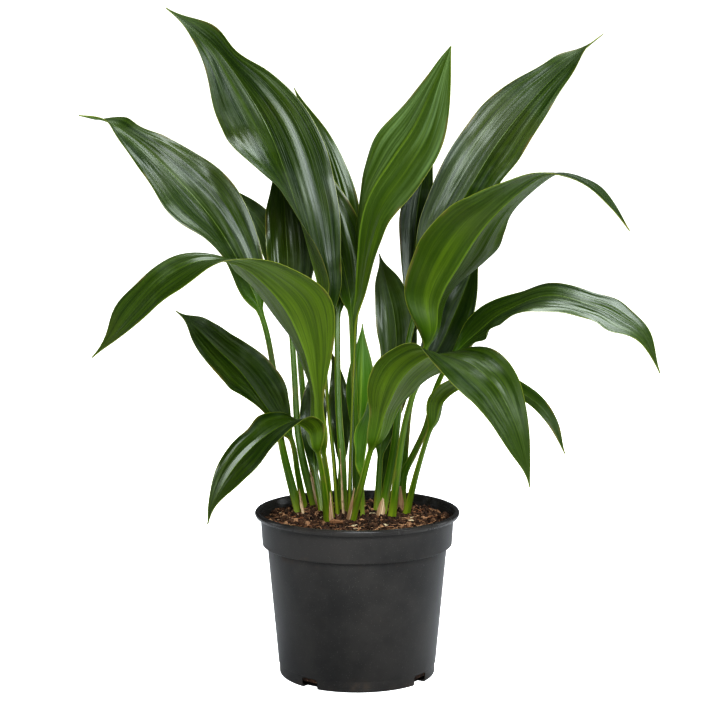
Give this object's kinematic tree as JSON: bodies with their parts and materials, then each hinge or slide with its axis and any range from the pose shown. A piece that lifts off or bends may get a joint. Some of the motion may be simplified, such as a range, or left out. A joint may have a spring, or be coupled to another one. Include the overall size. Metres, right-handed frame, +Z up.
{
  "type": "potted plant",
  "caption": "Cast iron plant in a round nursery pot: broad pleated leaves on channelled stalks rise from the potting mix, the tall ones upright and the low ones arching over.",
  "frame": {"origin": "middle of the pot's underside, on the surface that the pot stands on; the plant's whole box is centred on it too", "axes": "+Z up along the pot's axis; +X to the right and +Y away from the side that the front leaf arches towards"},
  "size_m": [0.5337, 0.3165, 0.6196],
  "materials": {
    "pot": "semi-matte black, finely speckled",
    "soil": "rough dark crumbs with bark chips",
    "leaf": "satin upper face, duller underside",
    "young_leaf": "satin, brighter green",
    "sheath": "dry and papery"
  },
  "bodies": {
    "root": {"pot": "pot", "soil": "soil", "leaf_tall_left": "leaf", "leaf_wide_left": "leaf", "leaf_arched_left": "leaf", "leaf_short_left": "leaf", "leaf_drooping_left": "leaf", "leaf_tall_right": "leaf", "leaf_arched_right": "leaf", "leaf_long_right": "leaf", "leaf_drooping_right": "leaf", "leaf_front_arched": "leaf", "leaf_upright_centre": "leaf", "leaf_young_front": "young_leaf", "leaf_young_centre": "young_leaf", "leaf_inner_left": "leaf", "leaf_inner_right": "leaf", "leaf_low_left": "leaf", "leaf_back_left": "leaf", "leaf_behind_tall_left": "leaf", "leaf_far_back_left": "leaf", "leaf_back_centre": "leaf", "leaf_back_right": "leaf", "leaf_behind_right": "leaf", "sheath_left": "sheath", "sheath_drooping_left": "sheath", "sheath_tall_left": "sheath", "sheath_front": "sheath", "sheath_middle_right": "sheath", "sheath_long_right": "sheath", "sheath_back_left": "sheath"}
  },
  "joints": []
}
